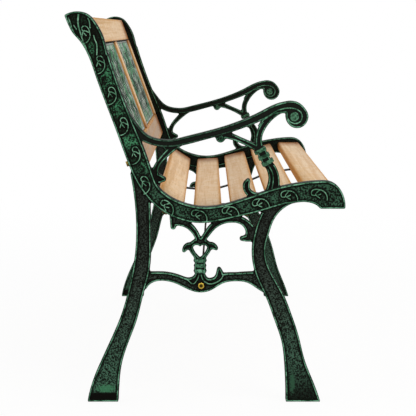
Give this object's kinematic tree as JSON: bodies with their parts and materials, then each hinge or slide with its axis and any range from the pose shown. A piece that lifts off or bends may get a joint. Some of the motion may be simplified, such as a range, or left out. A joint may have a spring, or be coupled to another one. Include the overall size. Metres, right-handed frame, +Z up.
{
  "type": "garden bench",
  "caption": "Garden bench with ornamental cast-iron end frames, scrolled armrests, a dished slatted wooden seat and a raked wooden back holding trellis panels.",
  "frame": {"origin": "on the ground, below the middle of the bench's box", "axes": "X along the bench with the sitter's right at -X, the sitter faces -Y, +Z up"},
  "size_m": [1.22, 0.5276, 0.7424],
  "materials": {
    "patinated_cast_iron": "black-green paint, rubbed lighter green on raised edges and ornament",
    "oiled_hardwood": "pale clear-oiled hardwood with rounded edges",
    "moulded_panel": "moulded trellis in mottled grey-green with a pale rubbed border",
    "black_painted_steel": "satin black paint on mild steel",
    "yellow_zinc_steel": "yellow-passivated zinc plate"
  },
  "bodies": {
    "root": {"left_end_frame": "patinated_cast_iron", "right_end_frame": "patinated_cast_iron", "seat_slat_1": "oiled_hardwood", "seat_slat_2": "oiled_hardwood", "seat_slat_3": "oiled_hardwood", "seat_slat_4": "oiled_hardwood", "seat_slat_5": "oiled_hardwood", "back_bottom_rail": "oiled_hardwood", "back_top_rail": "oiled_hardwood", "back_left_stile": "oiled_hardwood", "back_middle_stile": "oiled_hardwood", "back_right_stile": "oiled_hardwood", "left_back_panel": "moulded_panel", "left_brace_rod": "black_painted_steel", "left_brace_bolt": "yellow_zinc_steel", "left_seat_screws": "yellow_zinc_steel", "left_seat_washers": "yellow_zinc_steel", "left_back_screws": "yellow_zinc_steel", "left_back_washers": "yellow_zinc_steel", "right_back_panel": "moulded_panel", "right_brace_rod": "black_painted_steel", "right_brace_bolt": "yellow_zinc_steel", "right_seat_screws": "yellow_zinc_steel", "right_seat_washers": "yellow_zinc_steel", "right_back_screws": "yellow_zinc_steel", "right_back_washers": "yellow_zinc_steel", "seat_strip": "black_painted_steel", "strip_screws": "yellow_zinc_steel", "brace_centre_screw": "yellow_zinc_steel"}
  },
  "joints": []
}
